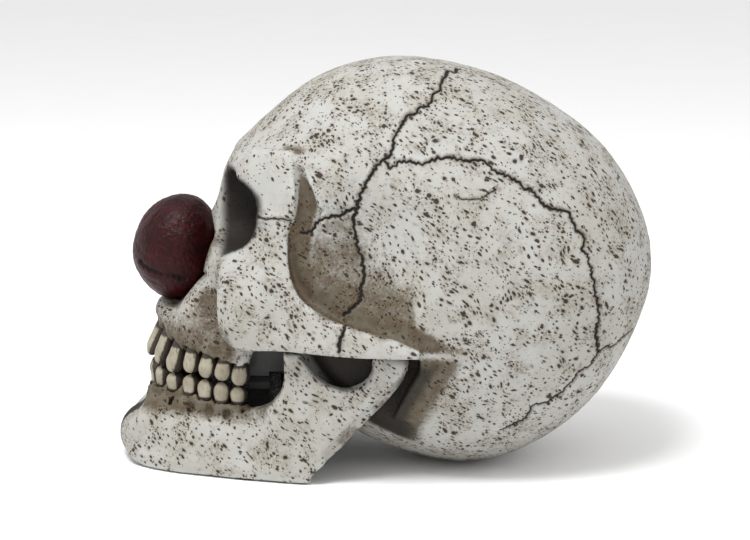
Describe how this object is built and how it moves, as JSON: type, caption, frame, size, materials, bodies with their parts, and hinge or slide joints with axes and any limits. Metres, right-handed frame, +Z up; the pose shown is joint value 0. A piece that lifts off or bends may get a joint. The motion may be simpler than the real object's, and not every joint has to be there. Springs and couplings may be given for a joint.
{
  "type": "bubbling aquarium skull ornament",
  "caption": "Hollow cast skull with a ball nose and a hinged, weighted jaw; air fed by a hose to a stone gathers in a cup under the palate and lifts the face to let bubbles out.",
  "frame": {"origin": "on the ground, under the middle of the object's length and width", "axes": "+Z up, the face looks along -Y, +X is the skull's own left side; X = 0 is the mid-plane"},
  "size_m": [0.0954, 0.1516, 0.1149],
  "materials": {
    "bone_resin": "matt cast resin with brown wash in its pits",
    "red_resin": "semi-gloss orange peel",
    "dowel_wood": "plain",
    "steel": "stainless",
    "acetal": "plain",
    "dark_plastic": "moulded",
    "mineral": "sintered grains",
    "silicone": "cloudy clear",
    "black_rubber": "matt"
  },
  "bodies": {
    "head": {"skull_casting": "bone_resin", "nose_ball": "red_resin", "nose_dowel": "dowel_wood", "hinge_pin_left": "steel", "hinge_pin_right": "steel", "air_cup": "dark_plastic", "cup_screw_front": "steel", "cup_screw_back": "steel", "air_stone": "mineral", "stone_nipple": "dark_plastic", "stone_clip": "dark_plastic", "air_hose": "silicone", "inlet_grommet": "black_rubber", "rest_pad_rear": "black_rubber"},
    "jaw": {"jaw_casting": "bone_resin", "hinge_bush_left": "acetal", "hinge_bush_right": "acetal", "rest_pad_left": "black_rubber", "rest_pad_right": "black_rubber", "rest_pad_chin": "black_rubber", "jaw_weight_left": "steel", "jaw_weight_right": "steel"},
    "elbow": {"inlet_elbow": "dark_plastic"}
  },
  "joints": [
    {"name": "jaw_hinge", "type": "hinge", "parent": "head", "child": "jaw", "pos_m": [0, 0.003, 0.0335], "axis": [1, 0, 0], "range_deg": [0, 14]},
    {"name": "elbow_swivel", "type": "hinge", "parent": "head", "child": "elbow", "pos_m": [-0.03348, 0.05048, 0.02942], "axis": [-0.5997, 0.5997, -0.5299], "continuous": true}
  ]
}
